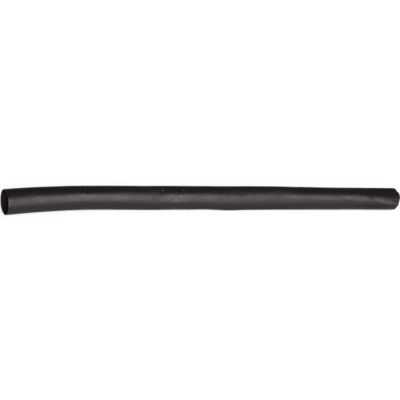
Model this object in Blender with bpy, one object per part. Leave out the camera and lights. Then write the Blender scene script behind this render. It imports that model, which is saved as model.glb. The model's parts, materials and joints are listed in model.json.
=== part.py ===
"""A cut length of black heat shrink tube, lying on its side.

One thin-walled sleeve, open from end to end. It is straight but for the bend that the roll
left at its mouth, a little out of round along its length, and pressed in on one side where
it was cut at the tail, with a soft ridge under the press. The rings of the sleeve are laid
out one after another along the bent middle line, the outer skin first and the bore after it,
and the two skins are joined by the flat faces of the two cuts.
Metres, +Z up, +X along the straight stretch towards the tail, the photo's view from -Y.
"""
import math

import bmesh
import bpy
from mathutils import Vector

# The stock: a sleeve for a 10 mm cable bundle, as it is sold before it is shrunk
TUBE_LENGTH = 0.200
BORE_DIAMETER = 0.0105
WALL = 0.00035

# The bend left by the roll, an even arc that starts at the mouth and runs out into the straight
MOUTH_BEND_ANGLE = math.radians(8.9)
MOUTH_BEND_LENGTH = 0.052

# How far the section is out of round, as a share of its radius, at distances from the mouth,
# and the direction of its long axis, turned up from the front (-Y)
OVAL_PLACES = ((0.000, 0.011), (0.045, -0.033), (0.085, 0.0), (0.119, 0.024), (0.170, -0.009))
OVAL_DIRECTION = math.radians(123)

# How far the section leans over towards the back, as a share of its radius
LEAN_PLACES = (
    (0.000, -0.030), (0.018, -0.018), (0.032, 0.0), (0.172, -0.009), (0.180, -0.014),
    (0.185, -0.064), (0.191, -0.077), (0.200, -0.069),
)
LEAN_DIRECTION = math.radians(33)

# The side that the cutter pressed in at the tail: its depth as a share of the radius and the
# angle of the ridge under it, at distances from the mouth, then the angles of its deepest line
# and of its top edge. All angles are turned up from the front.
PRESS_START = 0.170
PRESS_PLACES = (
    (PRESS_START, 0.0), (0.181, 0.028), (0.185, 0.055), (0.1905, 0.060), (0.200, 0.138),
)
RIDGE_PLACES = (
    (PRESS_START, math.radians(17)), (0.1806, math.radians(17)), (0.1845, math.radians(15)),
    (0.1905, math.radians(13.2)), (0.194, math.radians(8.4)), (0.200, math.radians(4)),
)
VALLEY_ANGLE = math.radians(91.5)
PRESS_TOP_ANGLE = math.radians(111)
RIDGE_RISE = 1.21
RIDGE_WIDTH = 0.227
RIDGE_ROUNDING = 0.0145

# A hollow in the press and the faint swelling before it: distance from the mouth, angle up from
# the front, reach along, reach around and depth
HOLLOWS = (
    (0.1869, math.radians(7), 0.0040, math.radians(18), 0.00039),
    (0.1815, math.radians(39.5), 0.0033, math.radians(21.5), -0.00009),
)

# How finely the skins are divided
SIDES = 48
BEND_STEPS = 10
STRAIGHT_STEPS = 12
PRESS_STEPS = 14

TUBE_COLOUR = (0.016, 0.012, 0.015, 1.0)
TUBE_ROUGHNESS = 0.45


def smooth_step(share):
    """Ease from 0 to 1 with no kink at either end."""
    share = min(max(share, 0.0), 1.0)
    return share * share * (3.0 - 2.0 * share)


def between(places, along):
    """Read a value at a distance from the mouth, eased from each named place to the next."""
    if along <= places[0][0]:
        return places[0][1]
    for (start, low), (end, high) in zip(places, places[1:]):
        if along <= end:
            return low + (high - low) * smooth_step((along - start) / (end - start))
    return places[-1][1]


def pressed_share(angle, along):
    """How far the press pushes the wall in at this angle: 1 on its deepest line, 0 outside it."""
    ridge = between(RIDGE_PLACES, along)
    off_ridge = math.remainder(angle - ridge, 2 * math.pi)
    rise = RIDGE_RISE * math.exp(-(off_ridge / RIDGE_WIDTH) ** 2)
    if angle > VALLEY_ANGLE and off_ridge > 0.0:
        past_valley = (angle - VALLEY_ANGLE) / (PRESS_TOP_ANGLE - VALLEY_ANGLE)
        return (1.0 + math.cos(math.pi * min(past_valley, 1.0))) / 2
    to_valley = off_ridge / (VALLEY_ANGLE - ridge)
    to_valley = min((to_valley + math.sqrt(to_valley ** 2 + RIDGE_ROUNDING)) / 2, 1.0)
    return 1.0 - (1.0 - to_valley) ** 2 - rise


def hollow_depth(angle, along):
    """How deep the hollows push the wall in at this place."""
    depth = 0.0
    for place, facing, reach_along, reach_around, deepest in HOLLOWS:
        off_along = (along - place) / reach_along
        off_around = math.remainder(angle - facing, 2 * math.pi) / reach_around
        depth += deepest * math.exp(-(off_along ** 2 + off_around ** 2))
    return depth


def section_radius(angle, along, inset):
    """How far a skin lies from the middle line; `inset` is its depth under the outer skin."""
    oval = between(OVAL_PLACES, along) * math.cos(2 * (angle - OVAL_DIRECTION))
    lean = between(LEAN_PLACES, along) * math.sin(2 * (angle - LEAN_DIRECTION))
    press = between(PRESS_PLACES, along) * pressed_share(angle, along)
    radius = (BORE_DIAMETER / 2 + WALL) * (1.0 + oval + lean - press)
    return radius - hollow_depth(angle, along) - inset


def stations():
    """The distances from the mouth at which the rings lie, closer where the shape changes."""
    spans = (
        (0.0, MOUTH_BEND_LENGTH, BEND_STEPS),
        (MOUTH_BEND_LENGTH, PRESS_START, STRAIGHT_STEPS),
        (PRESS_START, TUBE_LENGTH, PRESS_STEPS),
    )
    places = [0.0]
    for start, end, steps in spans:
        places += [start + (end - start) * step / steps for step in range(1, steps + 1)]
    return places


def middle_point(along):
    """The middle line's place and heading, from the end of the bend at the origin."""
    if along >= MOUTH_BEND_LENGTH:
        return Vector((along - MOUTH_BEND_LENGTH, 0.0, 0.0)), 0.0
    bend_radius = MOUTH_BEND_LENGTH / MOUTH_BEND_ANGLE
    heading = MOUTH_BEND_ANGLE * (1.0 - along / MOUTH_BEND_LENGTH)
    offset = Vector((-math.sin(heading), math.cos(heading) - 1.0, 0.0)) * bend_radius
    return offset, heading


def ring_points(along, inset):
    """One ring of a skin, `inset` inside the outer one, with the outer one resting on z = 0."""
    middle, heading = middle_point(along)
    front = Vector((math.sin(heading), -math.cos(heading), 0.0))
    up = Vector((0.0, 0.0, 1.0))
    # Half a side's turn puts a flat side at the bottom, where the tube touches the floor
    angles = [2 * math.pi * (side + 0.5) / SIDES for side in range(SIDES)]
    # The pressed end doesn't sink: the stiff wall holds its middle line level, just clear of z = 0
    resting = min(along, PRESS_START)
    rest_height = max(-section_radius(angle, resting, 0.0) * math.sin(angle) for angle in angles)
    lifted = middle + up * rest_height
    return [
        lifted + (front * math.cos(angle) + up * math.sin(angle)) * section_radius(angle, along, inset)
        for angle in angles
    ]


def add_skin(mesh, inset):
    """Draw a skin ring after ring by extruding its open edge; return its first and last rings."""
    places = stations()
    ring = bmesh.ops.create_circle(mesh, segments=SIDES, radius=BORE_DIAMETER / 2)["verts"]
    edges = list({edge for vert in ring for edge in vert.link_edges})
    mouth_ring = ring
    for vert, point in zip(ring, ring_points(places[0], inset)):
        vert.co = point
    for along in places[1:]:
        extruded = bmesh.ops.extrude_edge_only(mesh, edges=edges)["geom"]
        new_verts = {item for item in extruded if isinstance(item, bmesh.types.BMVert)}
        edges = [item for item in extruded if isinstance(item, bmesh.types.BMEdge)]
        edges = [edge for edge in edges if edge.verts[0] in new_verts and edge.verts[1] in new_verts]
        ring = [
            next(edge.other_vert(vert) for edge in vert.link_edges if edge.other_vert(vert) in new_verts)
            for vert in ring
        ]
        for vert, point in zip(ring, ring_points(along, inset)):
            vert.co = point
    return mouth_ring, ring


def add_cut_face(mesh, outer_ring, bore_ring):
    """Close the wall at a cut: one small flat face for each side, from the outer skin to the bore."""
    for side in range(SIDES):
        following = (side + 1) % SIDES
        mesh.faces.new((outer_ring[side], outer_ring[following], bore_ring[following], bore_ring[side]))


def make_tube_mesh():
    """Both skins, joined at the two cuts, with the origin under the middle of the tube's box."""
    shape = bmesh.new()
    outer_mouth, outer_tail = add_skin(shape, 0.0)
    bore_mouth, bore_tail = add_skin(shape, WALL)
    add_cut_face(shape, outer_mouth, bore_mouth)
    add_cut_face(shape, outer_tail, bore_tail)
    bmesh.ops.recalc_face_normals(shape, faces=shape.faces)
    low = [min(vert.co[axis] for vert in shape.verts) for axis in (0, 1)]
    high = [max(vert.co[axis] for vert in shape.verts) for axis in (0, 1)]
    centre = Vector(((low[0] + high[0]) / 2, (low[1] + high[1]) / 2, 0.0))
    bmesh.ops.translate(shape, verts=shape.verts, vec=-centre)
    mesh = bpy.data.meshes.new("heat_shrink_tube")
    shape.to_mesh(mesh)
    shape.free()
    mesh.shade_smooth()
    mesh.set_sharp_from_angle(angle=math.radians(50))
    return mesh


def tube_material():
    """Black cross-linked polyolefin, satin and a little warm."""
    material = bpy.data.materials.new("black_polyolefin")
    material.use_nodes = True
    surface = material.node_tree.nodes["Principled BSDF"]
    surface.inputs["Base Color"].default_value = TUBE_COLOUR
    surface.inputs["Roughness"].default_value = TUBE_ROUGHNESS
    surface.inputs["Metallic"].default_value = 0.0
    return material


def main():
    for existing in list(bpy.data.objects):
        bpy.data.objects.remove(existing, do_unlink=True)
    mesh = make_tube_mesh()
    mesh.materials.append(tube_material())
    tube = bpy.data.objects.new("heat_shrink_tube", mesh)
    bpy.context.scene.collection.objects.link(tube)


main()
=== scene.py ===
# %% [markdown]
# # A cut length of black heat shrink tube
# Heat shrink tube is a thin sleeve of cross-linked polyolefin. The maker extrudes it thick and
# narrow, then blows it up to about twice its width and freezes it there, so that it shrinks
# back when it is heated. This lesson makes one length of it, as it lies on a table: straight
# but for the bend that its roll left at one end, a little out of round, and pushed in on one
# side of the other end, where the cutter went through it.

# %% Load the frame
import json
import math

import bpy
from mathutils import Matrix, Vector, noise

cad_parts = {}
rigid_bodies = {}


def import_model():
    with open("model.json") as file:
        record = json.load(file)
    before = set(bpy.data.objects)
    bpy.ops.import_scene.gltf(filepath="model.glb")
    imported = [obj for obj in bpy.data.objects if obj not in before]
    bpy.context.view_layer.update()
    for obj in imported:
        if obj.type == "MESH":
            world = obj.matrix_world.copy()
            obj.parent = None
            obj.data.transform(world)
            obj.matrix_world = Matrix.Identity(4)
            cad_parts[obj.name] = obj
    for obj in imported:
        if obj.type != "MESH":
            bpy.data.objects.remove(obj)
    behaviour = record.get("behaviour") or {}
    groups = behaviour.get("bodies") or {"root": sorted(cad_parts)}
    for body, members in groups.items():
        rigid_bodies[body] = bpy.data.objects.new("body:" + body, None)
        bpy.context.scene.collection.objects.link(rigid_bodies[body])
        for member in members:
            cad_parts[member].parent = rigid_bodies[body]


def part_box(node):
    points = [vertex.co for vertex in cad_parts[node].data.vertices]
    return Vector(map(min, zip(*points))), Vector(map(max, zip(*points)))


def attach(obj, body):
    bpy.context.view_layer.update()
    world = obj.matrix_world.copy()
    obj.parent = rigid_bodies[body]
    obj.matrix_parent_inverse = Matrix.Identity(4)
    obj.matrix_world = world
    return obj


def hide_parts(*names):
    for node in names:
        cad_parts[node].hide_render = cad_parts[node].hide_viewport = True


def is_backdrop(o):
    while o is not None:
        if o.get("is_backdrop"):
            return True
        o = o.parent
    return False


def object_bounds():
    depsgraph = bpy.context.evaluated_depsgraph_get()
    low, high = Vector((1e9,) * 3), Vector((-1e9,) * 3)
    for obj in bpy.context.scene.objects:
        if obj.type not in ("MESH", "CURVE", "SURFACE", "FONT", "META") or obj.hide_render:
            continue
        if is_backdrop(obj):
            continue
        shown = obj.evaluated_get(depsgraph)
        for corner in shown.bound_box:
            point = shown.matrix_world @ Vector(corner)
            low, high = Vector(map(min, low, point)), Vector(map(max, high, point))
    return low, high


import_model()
cad_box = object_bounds()
tube_low, tube_high = (Vector(corner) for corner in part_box("heat_shrink_tube"))
print("the sleeve's box is", [round(side * 1000, 1) for side in tube_high - tube_low], "mm")

# %% [markdown]
# ## The camera
# The photo is taken from a little above, with the near end of the tube on the left, and the
# picture is turned so that the tube lies level in it. A long lens from about half a metre
# gives that view: the far end comes out a sixth smaller than the near one. A camera is
# placed by its direction as seen from the tube, its distance and its roll about its own
# line of sight.

# %% Camera
VIEW_AZIMUTH = math.radians(-26.45)
VIEW_ELEVATION = math.radians(30.0)
VIEW_ROLL = math.radians(14.19)
VIEW_DISTANCE = 0.4682
VIEW_AIM = Vector((-0.0076, -0.0001, 0.0056))
LENS = 90.0
NEAREST_SHOWN = 0.01


def add_camera():
    """A camera that looks at VIEW_AIM, rolled about its own line of sight."""
    backwards = Vector((
        math.sin(VIEW_AZIMUTH) * math.cos(VIEW_ELEVATION),
        -math.cos(VIEW_AZIMUTH) * math.cos(VIEW_ELEVATION),
        math.sin(VIEW_ELEVATION),
    ))
    level_right = Vector((math.cos(VIEW_AZIMUTH), math.sin(VIEW_AZIMUTH), 0.0))
    level_up = backwards.cross(level_right)
    right = level_right * math.cos(VIEW_ROLL) + level_up * math.sin(VIEW_ROLL)
    up = level_up * math.cos(VIEW_ROLL) - level_right * math.sin(VIEW_ROLL)
    camera = bpy.data.objects.new("camera", bpy.data.cameras.new("camera"))
    bpy.context.scene.collection.objects.link(camera)
    turn = Matrix((right, up, backwards)).transposed()
    camera.matrix_world = Matrix.Translation(VIEW_AIM + backwards * VIEW_DISTANCE) @ turn.to_4x4()
    camera.data.lens = LENS
    camera.data.clip_start = NEAREST_SHOWN
    camera.data.dof.use_dof = False
    bpy.context.scene.camera = camera
    return camera


camera = add_camera()
print("the camera stands at", [round(place, 3) for place in camera.location])

# %% [markdown]
# ## The sleeve as a straight, round skin
# On the real thing the outer skin and the bore follow each other at one thin wall. So only
# the outer skin is drawn here, as a cylinder with open ends, and the wall comes later from
# one Solidify modifier. The long edges are subdivided into rings, close enough together that
# dents of a few millimetres can be pressed into the skin afterwards. Each point also keeps
# its place on the straight sleeve in an attribute, so that the lines and scuffs of the
# finish can follow the sleeve round its bend.

# %% Straight skin
TUBE_LENGTH = 0.200
BORE_DIAMETER = 0.0105
WALL = 0.00035
SKIN_SIDES = 96
# Two rounds of cuts divide the length into 16, and then each of those into 18
FIRST_CUTS = 15
SECOND_CUTS = 17


def deselect_all():
    """Nothing is selected, so that the next operator acts on its own object alone."""
    for other in bpy.context.view_layer.objects:
        other.select_set(False)


def only(piece):
    """Select this one object and make it active."""
    deselect_all()
    piece.select_set(True)
    bpy.context.view_layer.objects.active = piece


def subdivide_lengthwise(piece, cuts):
    """Cut every edge that runs along the sleeve into equal lengths."""
    bpy.ops.object.mode_set(mode="EDIT")
    bpy.ops.mesh.select_mode(type="EDGE")
    bpy.ops.mesh.select_all(action="DESELECT")
    bpy.ops.object.mode_set(mode="OBJECT")
    points = piece.data.vertices
    for edge in piece.data.edges:
        run = points[edge.vertices[1]].co - points[edge.vertices[0]].co
        edge.select = abs(run.x) > abs(run.y) + abs(run.z)
    bpy.ops.object.mode_set(mode="EDIT")
    bpy.ops.mesh.subdivide(number_cuts=cuts)
    bpy.ops.object.mode_set(mode="OBJECT")


deselect_all()
bpy.ops.mesh.primitive_cylinder_add(
    vertices=SKIN_SIDES, radius=BORE_DIAMETER / 2 + WALL, depth=TUBE_LENGTH, end_fill_type="NOTHING",
    location=(TUBE_LENGTH / 2, 0.0, 0.0), rotation=(0.0, math.pi / 2, 0.0),
)
sleeve = bpy.context.object
sleeve.name = "sleeve"
only(sleeve)
bpy.ops.object.transform_apply(location=True, rotation=True, scale=True)
subdivide_lengthwise(sleeve, FIRST_CUTS)
subdivide_lengthwise(sleeve, SECOND_CUTS)
straight = sleeve.data.attributes.new("straight_place", "FLOAT_VECTOR", "POINT")
for point, kept in zip(sleeve.data.vertices, straight.data):
    kept.vector = point.co
print("straight skin:", len(sleeve.data.polygons), "faces")

# %% [markdown]
# ## Pressing and bending it
# A real sleeve gets its shape from how it is handled: the roll bends it, the packing makes it
# oval and lets it lean, and the cutter pushes one side of the tail in, with a soft ridge under
# the press. Each of those is one small function here, of the distance from the mouth and the
# angle up from the front, so every point of the straight skin can be carried to its place.
# This is easier to steer than a chain of Bend and Lattice modifiers, and the dents can be told
# where to lie by their real size. A blade that pushes before it cuts also leaves the cut a
# little wavy, so the skin near both cuts is drawn longer on some sides than on others.

# %% Shape of the section
MOUTH_BEND_ANGLE = math.radians(8.9)
MOUTH_BEND_LENGTH = 0.052
OVAL_PLACES = ((0.000, 0.011), (0.045, -0.033), (0.085, 0.0), (0.119, 0.024), (0.170, -0.009))
OVAL_DIRECTION = math.radians(123)
# The band of light lies a little lower or higher along the sleeve: the section leans there
LEAN_PLACES = (
    (0.000, -0.022), (0.018, -0.006), (0.032, 0.005), (0.056, -0.004), (0.069, -0.022),
    (0.080, -0.008), (0.094, -0.014), (0.106, -0.030), (0.119, -0.014), (0.131, 0.002),
    (0.146, -0.006), (0.164, -0.016), (0.172, -0.009), (0.180, -0.014), (0.185, -0.064),
    (0.191, -0.077), (0.200, -0.069),
)
SIGHT_ANGLE = math.radians(33)
# The press in the tail: the angles of its deepest line and of its top edge, then its depth as a
# share of the radius and the angle of the ridge under it, both at distances from the mouth
VALLEY_ANGLE = math.radians(91.5)
PRESS_TOP_ANGLE = math.radians(111)
PRESS_START = 0.170
PRESS_PLACES = (
    (PRESS_START, 0.0), (0.1810, 0.028), (0.1850, 0.055), (0.1905, 0.060), (0.2000, 0.138),
)
RIDGE_PLACES = (
    (PRESS_START, math.radians(17)), (0.1806, math.radians(17)), (0.1845, math.radians(15)),
    (0.1905, math.radians(13.2)), (0.1940, math.radians(8.4)), (0.2000, math.radians(4)),
)
# The ridge: its height as a share of the press's depth, its reach to either side in radians,
# and how softly the press begins beside it
RIDGE_RISE = 1.21
RIDGE_WIDTH = 0.227
RIDGE_ROUNDING = 0.0145
# The tail's cut is wavy: the pressed side is left a little longer, and the ridge is nicked
CUT_WAVE = 0.0009
CUT_WAVE_MEAN = 0.00015
CUT_WAVE_FACING = math.radians(67)
CUT_NICK = 0.0007
CUT_NICK_WIDTH = math.radians(15)
CUT_REACH = 0.014
# The mouth's cut slants: its underside is left a little longer, and its low front bulges
MOUTH_SLANT = 0.0003
MOUTH_BULGE = 0.00016
MOUTH_BULGE_FACING = math.radians(15)


def smooth_step(share):
    """Ease from 0 to 1 with no kink at either end."""
    share = min(max(share, 0.0), 1.0)
    return share * share * (3.0 - 2.0 * share)


def between(places, along):
    """Read a value at a distance from the mouth, eased from each named place to the next."""
    if along <= places[0][0]:
        return places[0][1]
    for (start, low), (end, high) in zip(places, places[1:]):
        if along <= end:
            return low + (high - low) * smooth_step((along - start) / (end - start))
    return places[-1][1]


def pressed_share(angle, along):
    """How far the press pushes the skin in at this angle: 0 outside it, 1 in its valley.
    The angle is at most a full turn, counted up from the front."""
    ridge = between(RIDGE_PLACES, along)
    off_ridge = math.remainder(angle - ridge, 2 * math.pi)
    rise = RIDGE_RISE * math.exp(-(off_ridge / RIDGE_WIDTH) ** 2)
    if angle > VALLEY_ANGLE and off_ridge > 0.0:
        past_valley = (angle - VALLEY_ANGLE) / (PRESS_TOP_ANGLE - VALLEY_ANGLE)
        return (1.0 + math.cos(math.pi * min(past_valley, 1.0))) / 2
    to_valley = off_ridge / (VALLEY_ANGLE - ridge)
    to_valley = min((to_valley + math.sqrt(to_valley ** 2 + RIDGE_ROUNDING)) / 2, 1.0)
    return 1.0 - (1.0 - to_valley) ** 2 - rise


def section_radius(angle, along):
    """The outer skin's distance from the middle line: round, oval, leaning and pressed."""
    radius = BORE_DIAMETER / 2 + WALL
    oval = between(OVAL_PLACES, along) * math.cos(2 * (angle - OVAL_DIRECTION))
    lean = between(LEAN_PLACES, along) * math.sin(2 * (angle - SIGHT_ANGLE))
    press = between(PRESS_PLACES, along) * pressed_share(angle, along)
    return radius * (1.0 + oval + lean - press)


deepest_press = PRESS_PLACES[-1][1] * (BORE_DIAMETER / 2 + WALL)
print("the press goes", round(deepest_press * 1000, 2), "mm deep at the tail's cut")

# %% Dents and waves
# Each dent: distance from the mouth, angle up from the front, reach along, reach around, depth
DENTS = (
    (0.0722, SIGHT_ANGLE + math.radians(31), 0.0015, math.radians(15), 0.00022),
    (0.0800, SIGHT_ANGLE - math.radians(30), 0.0045, math.radians(17), -0.00018),
    (0.1117, SIGHT_ANGLE + math.radians(26), 0.0022, math.radians(15), 0.00016),
    (0.1325, SIGHT_ANGLE + math.radians(28), 0.0018, math.radians(14), 0.00010),
    (0.0550, SIGHT_ANGLE - math.radians(90), 0.0180, math.radians(30), -0.00018),
    (0.0945, SIGHT_ANGLE - math.radians(90), 0.0055, math.radians(28), 0.00014),
    (0.1085, SIGHT_ANGLE - math.radians(90), 0.0055, math.radians(30), -0.00020),
    (0.1815, SIGHT_ANGLE + math.radians(6.5), 0.0033, math.radians(21.5), -0.00009),
    (0.1846, SIGHT_ANGLE + math.radians(1), 0.0028, math.radians(20), 0.00006),
    (0.1869, SIGHT_ANGLE - math.radians(26), 0.0040, math.radians(18), 0.00039),
)
# The waves in the wall: each finer octave is WAVE_STEP times closer and that much lower
WAVE_HEIGHT = 0.000018
WAVE_LENGTH = 0.011
WAVES_AROUND = 1.6
WAVE_FADE = 1.0
WAVE_STEP = 2.0
WAVE_OCTAVES = 3


def relief(angle, along):
    """Small dents, and the shallow waves that a thin wall always has."""
    height = 0.0
    for place, facing, reach_along, reach_around, depth in DENTS:
        off_along = (along - place) / reach_along
        off_around = math.remainder(angle - facing, 2 * math.pi) / reach_around
        height -= depth * math.exp(-(off_along ** 2 + off_around ** 2))
    spot = Vector((
        along / WAVE_LENGTH, math.cos(angle) * WAVES_AROUND, math.sin(angle) * WAVES_AROUND,
    ))
    return height + WAVE_HEIGHT * noise.fractal(spot, WAVE_FADE, WAVE_STEP, WAVE_OCTAVES)


print("dents and swellings:", len(DENTS))

# %% Carry every point to its place
def middle_point(along):
    """The middle line's place and heading, with the bend running out at the origin."""
    if along >= MOUTH_BEND_LENGTH:
        return Vector((along - MOUTH_BEND_LENGTH, 0.0, 0.0)), 0.0
    bend_radius = MOUTH_BEND_LENGTH / MOUTH_BEND_ANGLE
    heading = MOUTH_BEND_ANGLE * (1.0 - along / MOUTH_BEND_LENGTH)
    offset = Vector((-math.sin(heading), math.cos(heading) - 1.0, 0.0)) * bend_radius
    return offset, heading


def cut_shift(angle, along):
    """How far a point near a cut is moved along the sleeve, so that the cuts aren't quite square."""
    near_mouth = smooth_step(1.0 - along / CUT_REACH)
    near_tail = smooth_step(1.0 - (TUBE_LENGTH - along) / CUT_REACH)
    off_ridge = math.remainder(angle - RIDGE_PLACES[-1][1], 2 * math.pi)
    nick = CUT_NICK * math.exp(-(off_ridge / CUT_NICK_WIDTH) ** 2)
    wave = CUT_WAVE_MEAN + CUT_WAVE * math.cos(2 * (angle - CUT_WAVE_FACING))
    slant = MOUTH_SLANT * (1.0 - math.sin(angle - SIGHT_ANGLE)) / 2
    bulge = MOUTH_BULGE * max(math.cos(angle - MOUTH_BULGE_FACING), 0.0) ** 2
    return near_tail * (wave - nick) - near_mouth * (slant + bulge)


def shape_sleeve(piece):
    """Press and bend the straight skin ring by ring. Each ring rests on z = 0, up to the press:
    from there on the stiff wall holds the middle line level and the end hangs just clear."""
    rings = {}
    for point in piece.data.vertices:
        rings.setdefault(round(point.co.x, 6), []).append(point)
    for along, ring in rings.items():
        middle, heading = middle_point(along)
        front = Vector((math.sin(heading), -math.cos(heading), 0.0))
        onward = Vector((math.cos(heading), math.sin(heading), 0.0))
        angles = [math.atan2(point.co.z, -point.co.y) % (2 * math.pi) for point in ring]
        resting = min(along, PRESS_START)
        lift = max(-section_radius(angle, resting) * math.sin(angle) for angle in angles)
        for point, angle in zip(ring, angles):
            out = section_radius(angle, along) + relief(angle, along)
            place = middle + front * (out * math.cos(angle)) + onward * cut_shift(angle, along)
            place.z = lift + out * math.sin(angle)
            point.co = place


def box_of(piece):
    """Lowest and highest corner of a piece's points."""
    places = [point.co for point in piece.data.vertices]
    low = Vector([min(place[axis] for place in places) for axis in range(3)])
    high = Vector([max(place[axis] for place in places) for axis in range(3)])
    return low, high


shape_sleeve(sleeve)
low, high = box_of(sleeve)
# Lengthwise the sleeve is lined up by its tail, and across by the middle of its box
tail_x = TUBE_LENGTH - MOUTH_BEND_LENGTH
shift = Vector((tube_high.x - tail_x, (tube_low.y + tube_high.y - low.y - high.y) / 2, 0.0))
for point in sleeve.data.vertices:
    point.co += shift
    point.co.z = max(point.co.z, 0.0)
print("shaped skin:", [round(side * 1000, 2) for side in high - low], "mm")

# %% [markdown]
# ## Giving it a wall
# The wall of an expanded sleeve is about a third of a millimetre, so the cut end is a thin
# dark ring. Solidify puts the bore one wall inside the skin. Its material offsets give the
# bore and the two cuts their own finishes, and a small bevel then rounds the cut's edges, as
# a blade never leaves them quite sharp.

# %% Wall and cut edges
EDGE_ROUND = 0.00006
SHARP_ANGLE = math.radians(50)
SMOOTH_ANGLE = math.radians(40)


def apply_modifier(piece, kind, **settings):
    """Add one modifier, set it and apply it."""
    only(piece)
    modifier = piece.modifiers.new(kind.lower(), kind)
    for name, value in settings.items():
        setattr(modifier, name, value)
    bpy.ops.object.modifier_apply(modifier=modifier.name)


for name in ("skin", "bore", "cut"):
    sleeve.data.materials.append(bpy.data.materials.new("polyolefin_" + name))
apply_modifier(
    sleeve, "SOLIDIFY", thickness=WALL, offset=-1.0, use_even_offset=False,
    material_offset=1, material_offset_rim=2,
)
apply_modifier(
    sleeve, "BEVEL", width=EDGE_ROUND, segments=2, limit_method="ANGLE", angle_limit=SHARP_ANGLE,
)
only(sleeve)
bpy.ops.object.shade_smooth_by_angle(angle=SMOOTH_ANGLE)
print("walled sleeve:", len(sleeve.data.polygons), "faces")

# %% [markdown]
# ## Patterns for the finish
# What breaks up the gloss of a real sleeve is small: the mottle of a melt that froze as it was
# blown up, faint lines along it from the die, a fine grain, rub marks, and a few specks of
# dust. The first four are noises. The specks are round spots, each at a place of its own. All
# of them read the sleeve's own straight coordinates, so they follow the bend. They are made
# once, as two node groups with named outputs, and every finish takes from them what it needs.

# %% Helpers for nodes
def new_group(name, patterns):
    """An empty node group that takes a place on the sleeve and puts out the named patterns."""
    group = bpy.data.node_groups.new(name, "ShaderNodeTree")
    group.interface.new_socket(name="Place", in_out="INPUT", socket_type="NodeSocketVector")
    for pattern in patterns:
        group.interface.new_socket(name=pattern, in_out="OUTPUT", socket_type="NodeSocketFloat")
    return group, group.nodes.new("NodeGroupInput"), group.nodes.new("NodeGroupOutput")


def add_math(tree, operation, first, second):
    """A math node of two values; a number is set on the socket and a socket is linked."""
    node = tree.nodes.new("ShaderNodeMath")
    node.operation = operation
    for socket, value in zip(node.inputs, (first, second)):
        if isinstance(value, (int, float)):
            socket.default_value = value
        else:
            tree.links.new(value, socket)
    return node.outputs["Value"]


def add_stretched_noise(tree, place, waves, detail, roughness=0.5):
    """A noise of about 0 to 1, with its number of waves per metre along and across the sleeve."""
    scaled = tree.nodes.new("ShaderNodeVectorMath")
    scaled.operation = "MULTIPLY"
    scaled.inputs[1].default_value = waves
    tree.links.new(place, scaled.inputs[0])
    pattern = tree.nodes.new("ShaderNodeTexNoise")
    pattern.inputs["Scale"].default_value = 1.0
    pattern.inputs["Detail"].default_value = detail
    pattern.inputs["Roughness"].default_value = roughness
    tree.links.new(scaled.outputs["Vector"], pattern.inputs["Vector"])
    return pattern.outputs["Fac"]


def add_ramp(tree, value, low, high, to_low=0.0, to_high=1.0):
    """Carry the range low to high over to the range to_low to to_high, and clamp it there."""
    node = tree.nodes.new("ShaderNodeMapRange")
    node.inputs["From Min"].default_value = low
    node.inputs["From Max"].default_value = high
    node.inputs["To Min"].default_value = to_low
    node.inputs["To Max"].default_value = to_high
    tree.links.new(value, node.inputs["Value"])
    return node.outputs["Result"]


print("node helpers ready, with", len(bpy.data.node_groups), "groups so far")

# %% Frozen melt
# Each pattern: waves per metre along the sleeve and in the two ways across it, then its detail
MELT_PATTERNS = {
    "Mottle": ((150, 300, 300), 3),
    "Die Lines": ((30, 900, 900), 2),
    "Grain": ((1300, 1300, 1300), 2),
}
melt_group, melt_in, melt_out = new_group("frozen_melt", MELT_PATTERNS)
for name, (waves, detail) in MELT_PATTERNS.items():
    pattern = add_stretched_noise(melt_group, melt_in.outputs["Place"], waves, detail)
    melt_group.links.new(pattern, melt_out.inputs[name])
print("patterns of the melt:", list(MELT_PATTERNS))

# %% Dust and rub marks
# The grains of dust that can be made out: distance from the mouth, angle up from the front, size
DUST_GRAINS = (
    (0.0356, math.radians(75), 0.00035), (0.0446, math.radians(75), 0.00030),
    (0.0727, math.radians(73), 0.00055), (0.0827, math.radians(72), 0.00050),
    (0.0655, math.radians(-6), 0.00022), (0.1210, math.radians(150), 0.00040),
    (0.0240, math.radians(205), 0.00035),
)
# The inner share of a grain that is all dust
GRAIN_CORE = 0.4
# The noise of the rub marks, and the part of its range in which a mark fades in
RUB_WAVES = (110, 420, 420)
RUB_DETAIL = 3
RUB_ROUGHNESS = 0.6
RUB_RANGE = (0.60, 0.74)


def add_grain_mask(tree, place, along, angle, size):
    """A small round spot, 1 in its middle and 0 at its edge, at one place on the straight sleeve."""
    radius = BORE_DIAMETER / 2 + WALL
    away = tree.nodes.new("ShaderNodeVectorMath")
    away.operation = "DISTANCE"
    away.inputs[1].default_value = (along, -radius * math.cos(angle), radius * math.sin(angle))
    tree.links.new(place, away.inputs[0])
    return add_ramp(tree, away.outputs["Value"], size, size * GRAIN_CORE)


dust_group, dust_in, dust_out = new_group("table_dust", ("Specks", "Rub Marks"))
dust_place = dust_in.outputs["Place"]
specks = 0.0
for along, angle, size in DUST_GRAINS:
    grain = add_grain_mask(dust_group, dust_place, along, angle, size)
    specks = add_math(dust_group, "ADD", grain, specks)
dust_group.links.new(specks, dust_out.inputs["Specks"])
rub_noise = add_stretched_noise(dust_group, dust_place, RUB_WAVES, RUB_DETAIL, RUB_ROUGHNESS)
dust_group.links.new(add_ramp(dust_group, rub_noise, *RUB_RANGE), dust_out.inputs["Rub Marks"])
print("node groups:", [group.name for group in bpy.data.node_groups])

# %% [markdown]
# ## Three finishes
# Black polyolefin is satin: nearly black where nothing bright is mirrored in it, and grey in
# a broad soft band where the lamp is. So each of its three finishes, the outer skin, the bore
# and the cuts, is one Principled surface with a weak and slightly warm reflection. The
# patterns then only vary its roughness, its height and its colour.

# %% Steps that the finishes share
SHEEN_TINT = (1.0, 0.90, 0.865, 1.0)
DUST_COLOUR = (0.08, 0.072, 0.074)


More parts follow.
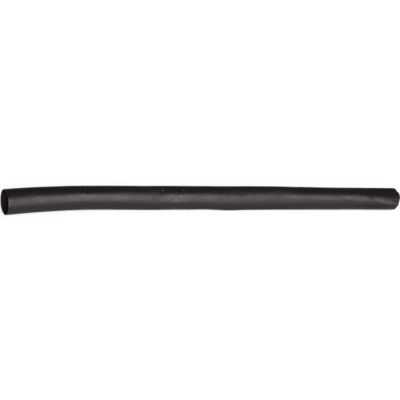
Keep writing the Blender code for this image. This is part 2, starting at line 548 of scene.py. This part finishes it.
def start_material(material, colour, roughness, sheen_level):
    """One Principled surface with the sleeve's reflection; hand back its tree and its shader.
    The plain colour and roughness are for a viewer that can't read the patterns."""
    material.use_nodes = True
    tree = material.node_tree
    surface = tree.nodes["Principled BSDF"]
    surface.inputs["Base Color"].default_value = (*colour, 1.0)
    surface.inputs["Roughness"].default_value = roughness
    surface.inputs["Specular Tint"].default_value = SHEEN_TINT
    surface.inputs["Specular IOR Level"].default_value = sheen_level
    return tree, surface


def add_pattern(tree, group):
    """Place one of the pattern groups, fed with the sleeve's straight coordinates."""
    stored = tree.nodes.new("ShaderNodeAttribute")
    stored.attribute_name = "straight_place"
    node = tree.nodes.new("ShaderNodeGroup")
    node.node_tree = group
    tree.links.new(stored.outputs["Vector"], node.inputs["Place"])
    return node, stored.outputs["Vector"]


def add_bump(tree, surface, height, distance, strength):
    """Let a height pattern tilt the shader's normal."""
    bump = tree.nodes.new("ShaderNodeBump")
    bump.inputs["Distance"].default_value = distance
    bump.inputs["Strength"].default_value = strength
    tree.links.new(height, bump.inputs["Height"])
    tree.links.new(bump.outputs["Normal"], surface.inputs["Normal"])


def mix_colours(tree, share, first, second):
    """A colour between two, by a mask."""
    node = tree.nodes.new("ShaderNodeMix")
    node.data_type = "RGBA"
    node.inputs["A"].default_value = (*first, 1.0)
    node.inputs["B"].default_value = (*second, 1.0)
    tree.links.new(share, node.inputs["Factor"])
    return node.outputs["Result"]


print("reflection:", [round(level, 2) for level in SHEEN_TINT[:3]])

# %% [markdown]
# ## The gloss of the outer skin
# The satin isn't even. The mottle, the grain and the rub marks vary it from one millimetre to
# the next. Over centimetres it is duller or glossier in places, where the sleeve lay against
# its neighbours on the roll, and near the mouth, where hands have held it. The blade
# burnished the lip of the mouth, and the pressed tail is drawn tight and smooth. A rougher
# surface mirrors the lamp wider and weaker, so all of this is one roughness, to which every
# cause adds its share.

# %% Gloss of the outer skin
# Each ramp: where it starts and ends, then the roughness that it gives or adds at either end.
# The mottle and the grain are read as patterns, the others as distances from the mouth.
MOTTLE_RAMP = (0.3, 0.7, 0.30, 0.43)
GRAIN_RAMP = (0.35, 0.65, -0.05, 0.05)
HANDLED_RAMP = (0.0, 0.060, 0.02, 0.0)
LIP_RAMP = (0.0, 0.0008, -0.14, 0.0)
TIGHT_RAMP = (0.174, 0.180, 0.0, -0.06)
RUB_SHARE = 0.08
# Where the satin is duller or, below zero, glossier: distance from the mouth, reach along it and
# change of roughness
DULL_PATCHES = (
    (0.0345, 0.012, -0.05), (0.0573, 0.007, 0.05), (0.0690, 0.0075, 0.13), (0.0805, 0.006, -0.05),
    (0.0935, 0.009, 0.05), (0.1070, 0.012, 0.08), (0.1185, 0.009, 0.09), (0.1310, 0.011, 0.15),
)


def add_patch(tree, along, centre, reach, change):
    """A change of roughness that fades out on either side of one place along the sleeve."""
    away = add_math(tree, "ABSOLUTE", add_math(tree, "SUBTRACT", along, centre), 0.0)
    fade = add_ramp(tree, away, reach, 0.0, 0.0, change)
    fade.node.interpolation_type = "SMOOTHSTEP"
    return fade


def skin_roughness(tree, melt, dust, along):
    """The mottled roughness of the skin, with all that makes it duller or glossier added."""
    changes = [
        add_ramp(tree, along, *HANDLED_RAMP),
        add_math(tree, "MULTIPLY", dust.outputs["Rub Marks"], RUB_SHARE),
    ]
    changes += [add_patch(tree, along, *patch) for patch in DULL_PATCHES]
    changes += [
        add_ramp(tree, melt.outputs["Grain"], *GRAIN_RAMP),
        add_ramp(tree, along, *LIP_RAMP),
        add_ramp(tree, along, *TIGHT_RAMP),
    ]
    roughness = add_ramp(tree, melt.outputs["Mottle"], *MOTTLE_RAMP)
    for change in changes:
        roughness = add_math(tree, "ADD", roughness, change)
    return roughness


print("duller and glossier places:", len(DULL_PATCHES))

# %% [markdown]
# ## Where the outer skin is matt, and where shade is painted on it
# Fine scuffs of half a millimetre lie everywhere and take away some of the gloss. The rest of
# the mask is painted shade: the underside is darkened at a slant, for the shadowed floor near
# the contact that it mirrors, the low front of the tail is darkened, for a dimmer floor mirrored
# there, and the first stretch behind the mouth is dimmed, for the band of light fading there. A
# higher roughness can't show this, as any gloss still lights up at a slant. So a mask says how
# much of the gloss is lost, and by that mask a plain dark diffuse shader takes the gloss's place.

# %% Matt places and painted shade of the outer skin
# Each ramp: where it starts and ends, then the share of the gloss that is lost at either end
# Painted shade: the underside is darkened at a slant, for the shadowed floor that it mirrors near the
# contact
SLANT_RAMP = (0.08, 0.46, 0.0, 0.53)
# Painted shade: the low front of the tail is darkened, for a dimmer floor mirrored there
TAIL_SHADE_RAMP = (0.145, 0.182, 0.0, 0.60)
# Painted shade: the gloss just behind the mouth is dimmed, for the band of light fading there
MOUTH_SHADE_RAMP = (0.0, 0.045, 0.12, 0.0)
SCUFF_RAMP = (0.42, 0.62, 0.0, 0.14)
# These two run from 0 to 1 between two heights above the middle line of the straight sleeve
UNDERSIDE_RAMP = (0.0015, 0.0)
LOW_FRONT_RAMP = (0.0008, -0.0004)
SLANT_BLEND = 0.5


def matt_and_shade_share(tree, melt, along, height):
    """How much of the gloss is lost to scuffs and to painted shade: none of it at 0, all of it at 1."""
    slant = tree.nodes.new("ShaderNodeLayerWeight")
    slant.inputs["Blend"].default_value = SLANT_BLEND
    slanted = add_ramp(tree, slant.outputs["Facing"], *SLANT_RAMP)
    # Painted shade under the sleeve, darkest at a slant
    underside_shade = add_math(tree, "MULTIPLY", slanted, add_ramp(tree, height, *UNDERSIDE_RAMP))
    towards_tail = add_ramp(tree, along, *TAIL_SHADE_RAMP)
    # Painted shade on the low front of the tail
    tail_shade = add_math(tree, "MULTIPLY", towards_tail, add_ramp(tree, height, *LOW_FRONT_RAMP))
    # Painted shade just behind the mouth
    mouth_shade = add_ramp(tree, along, *MOUTH_SHADE_RAMP)
    most = add_math(tree, "MAXIMUM", add_math(tree, "MAXIMUM", underside_shade, tail_shade), mouth_shade)
    return add_math(tree, "ADD", most, add_ramp(tree, melt.outputs["Grain"], *SCUFF_RAMP))


print("most gloss lost under the tail:", TAIL_SHADE_RAMP[3] + SCUFF_RAMP[3])

# %% Outer skin
SKIN_COLOUR = (0.0070, 0.0046, 0.0073)
SKIN_ROUGHNESS = 0.36
SKIN_SHEEN = 0.355
# The dark diffuse colour that stands for the scuffs and for the painted shade
MATT_AND_SHADE_COLOUR = (0.0110, 0.0046, 0.0098)
# The relief: how far the patterns rise, and the shares of the die lines and the grain in it
SKIN_RELIEF = 0.00020
SKIN_RELIEF_STRENGTH = 0.7
DIE_LINE_SHARE = 0.25
GRAIN_SHARE = 0.36
SPECK_SHARE = 0.8


def finish_skin(material):
    """Satin, with the melt's relief and a few specks, and matt where scuffs and painted shade take its
    gloss.
    """
    tree, surface = start_material(material, SKIN_COLOUR, SKIN_ROUGHNESS, SKIN_SHEEN)
    melt, place = add_pattern(tree, melt_group)
    dust, _ = add_pattern(tree, dust_group)
    axes = tree.nodes.new("ShaderNodeSeparateXYZ")
    tree.links.new(place, axes.inputs["Vector"])
    along = axes.outputs["X"]
    tree.links.new(skin_roughness(tree, melt, dust, along), surface.inputs["Roughness"])
    lines = add_math(tree, "MULTIPLY", melt.outputs["Die Lines"], DIE_LINE_SHARE)
    grain = add_math(tree, "MULTIPLY", melt.outputs["Grain"], GRAIN_SHARE)
    relief_height = add_math(tree, "ADD", melt.outputs["Mottle"], add_math(tree, "ADD", lines, grain))
    add_bump(tree, surface, relief_height, SKIN_RELIEF, SKIN_RELIEF_STRENGTH)
    specks = add_math(tree, "MULTIPLY", dust.outputs["Specks"], SPECK_SHARE)
    tree.links.new(mix_colours(tree, specks, SKIN_COLOUR, DUST_COLOUR), surface.inputs["Base Color"])
    # The dark diffuse takes the gloss's place at the scuffs and at the painted shade
    matt_and_shade = tree.nodes.new("ShaderNodeBsdfDiffuse")
    matt_and_shade.inputs["Color"].default_value = (*MATT_AND_SHADE_COLOUR, 1.0)
    mixed = tree.nodes.new("ShaderNodeMixShader")
    tree.links.new(matt_and_shade_share(tree, melt, along, axes.outputs["Z"]), mixed.inputs["Fac"])
    tree.links.new(surface.outputs["BSDF"], mixed.inputs[1])
    tree.links.new(matt_and_shade.outputs["BSDF"], mixed.inputs[2])
    tree.links.new(mixed.outputs["Shader"], tree.nodes["Material Output"].inputs["Surface"])


finish_skin(bpy.data.materials["polyolefin_skin"])
print("outer skin:", len(bpy.data.materials["polyolefin_skin"].node_tree.nodes), "nodes")

# %% [markdown]
# ## The bore and the cuts
# The air that blew the sleeve up left its bore duller than its skin, so the bore gets a weaker
# reflection and a trace of the rub marks as dust. A cut shows the sheared melt: grey-black, a
# little paler than the skin, grained by the blade and with hardly any gloss.

# %% Bore and cuts
BORE_COLOUR = (0.017, 0.012, 0.018)
BORE_ROUGHNESS = 0.6
BORE_SHEEN = 0.1
BORE_RAMP = (0.3, 0.7, 0.55, 0.68)
BORE_DUST = 0.1
BORE_RELIEF = 0.00006
BORE_RELIEF_STRENGTH = 0.5
CUT_COLOUR = (0.028, 0.023, 0.027)
PALER_CUT_COLOUR = (0.040, 0.034, 0.038)
CUT_ROUGHNESS = 0.7
CUT_SHEEN = 0.03
CUT_RAMP = (0.3, 0.7, 0.60, 0.80)
CUT_RELIEF = 0.00005
CUT_RELIEF_STRENGTH = 0.6


def finish_bore(material):
    """Dull, with the same mottle and a trace of dust."""
    tree, surface = start_material(material, BORE_COLOUR, BORE_ROUGHNESS, BORE_SHEEN)
    melt, _ = add_pattern(tree, melt_group)
    dust, _ = add_pattern(tree, dust_group)
    dusty = add_math(tree, "MULTIPLY", dust.outputs["Rub Marks"], BORE_DUST)
    tree.links.new(mix_colours(tree, dusty, BORE_COLOUR, DUST_COLOUR), surface.inputs["Base Color"])
    tree.links.new(add_ramp(tree, melt.outputs["Mottle"], *BORE_RAMP), surface.inputs["Roughness"])
    add_bump(tree, surface, melt.outputs["Die Lines"], BORE_RELIEF, BORE_RELIEF_STRENGTH)


def finish_cut(material):
    """The sheared melt, grained by the blade."""
    tree, surface = start_material(material, CUT_COLOUR, CUT_ROUGHNESS, CUT_SHEEN)
    melt, _ = add_pattern(tree, melt_group)
    grain = melt.outputs["Grain"]
    tree.links.new(add_ramp(tree, grain, *CUT_RAMP), surface.inputs["Roughness"])
    colour = mix_colours(tree, grain, CUT_COLOUR, PALER_CUT_COLOUR)
    tree.links.new(colour, surface.inputs["Base Color"])
    add_bump(tree, surface, grain, CUT_RELIEF, CUT_RELIEF_STRENGTH)


finish_bore(bpy.data.materials["polyolefin_bore"])
finish_cut(bpy.data.materials["polyolefin_cut"])
print("finishes:", [material.name for material in sleeve.data.materials])

# %% [markdown]
# ## Lights
# A dark satin sleeve shows its lamps more than its own colour, so they are placed by what
# should be mirrored where. A wide softbox above the camera gives the bright band along the
# sleeve. A second one, low in front, gives the softer grey below the band. What is left
# between the band and the top edge mirrors only the dim room, and stays nearly black. A
# softbox is set by its radiance, how bright its face looks, as that is what the sleeve mirrors.

# %% Softboxes
def add_softbox(name, elevation, distance, along, width, height, radiance):
    """A flat lamp with its long side along the sleeve, facing it from an angle up from the front."""
    data = bpy.data.lights.new(name, "AREA")
    data.shape = "RECTANGLE"
    data.size = width
    data.size_y = height
    data.energy = radiance * math.pi * width * height
    lamp = bpy.data.objects.new(name, data)
    bpy.context.scene.collection.objects.link(lamp)
    lamp.location = (along, -distance * math.cos(elevation), distance * math.sin(elevation))
    lamp.rotation_euler = (math.pi / 2 - elevation, 0.0, 0.0)
    lamp.visible_camera = False
    print(name, "stands at", [round(place, 2) for place in lamp.location])
    print(name, "gives", round(data.energy, 1), "W")


add_softbox(
    "key_softbox", elevation=math.radians(44.5), distance=1.0, along=0.23,
    width=1.2, height=0.74, radiance=5.6,
)
add_softbox(
    "front_softbox", elevation=math.radians(12), distance=1.1, along=0.01,
    width=1.1, height=0.45, radiance=5.8,
)

# %% Dim room
ROOM_LEVEL = 0.10
world = bpy.data.worlds.new("studio")
bpy.context.scene.world = world
world.use_nodes = True
world.node_tree.nodes["Background"].inputs["Color"].default_value = (1.0, 1.0, 1.0, 1.0)
world.node_tree.nodes["Background"].inputs["Strength"].default_value = ROOM_LEVEL
bpy.context.scene.view_settings.view_transform = "Standard"
print("room level:", ROOM_LEVEL)

# %% [markdown]
# ## The floor
# The sleeve lies on white card that is lit until it burns out to pure white. A part of that
# light comes from the card itself here, as a weak emission, so that the white stays even to
# its edges and the shadow under the sleeve stays faint. The emission grows towards the back,
# where the softboxes reach the card less.

# %% Floor
CARD_SIZE = 6.0
# The card lies this far under the sleeve, so that the two never share a plane
CARD_DROP = 0.0001
CARD_COLOUR = (0.42, 0.42, 0.42, 1.0)
# The ramp of its own light: where it starts and ends behind the sleeve, and its strength there
CARD_LIGHT_RAMP = (0.05, 0.30, 0.66, 0.90)


def finish_card(material):
    """Matt white card with a weak light of its own."""
    material.use_nodes = True
    tree = material.node_tree
    surface = tree.nodes["Principled BSDF"]
    surface.inputs["Base Color"].default_value = CARD_COLOUR
    surface.inputs["Roughness"].default_value = 1.0
    surface.inputs["Specular IOR Level"].default_value = 0.0
    surface.inputs["Emission Color"].default_value = (1.0, 1.0, 1.0, 1.0)
    place = tree.nodes.new("ShaderNodeTexCoord")
    axes = tree.nodes.new("ShaderNodeSeparateXYZ")
    tree.links.new(place.outputs["Object"], axes.inputs["Vector"])
    light = add_ramp(tree, axes.outputs["Y"], *CARD_LIGHT_RAMP)
    tree.links.new(light, surface.inputs["Emission Strength"])


deselect_all()
bpy.ops.mesh.primitive_plane_add(size=CARD_SIZE, location=(0.0, 0.0, -CARD_DROP))
floor = bpy.context.object
floor.name = "floor"
floor.data.materials.append(bpy.data.materials.new("pale_floor"))
finish_card(floor.data.materials[0])
floor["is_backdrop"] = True
print("floor:", [round(side, 1) for side in floor.dimensions], "m")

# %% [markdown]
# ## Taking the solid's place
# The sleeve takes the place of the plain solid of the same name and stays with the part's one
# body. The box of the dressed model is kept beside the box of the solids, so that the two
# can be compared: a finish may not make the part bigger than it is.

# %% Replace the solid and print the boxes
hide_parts("heat_shrink_tube")
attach(sleeve, "root")
visual_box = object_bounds()
boxes = {"cad": [list(corner) for corner in cad_box], "visual": [list(corner) for corner in visual_box]}
for name, (low, high) in boxes.items():
    print(name, "box in mm:", [round((end - start) * 1000, 2) for start, end in zip(low, high)])
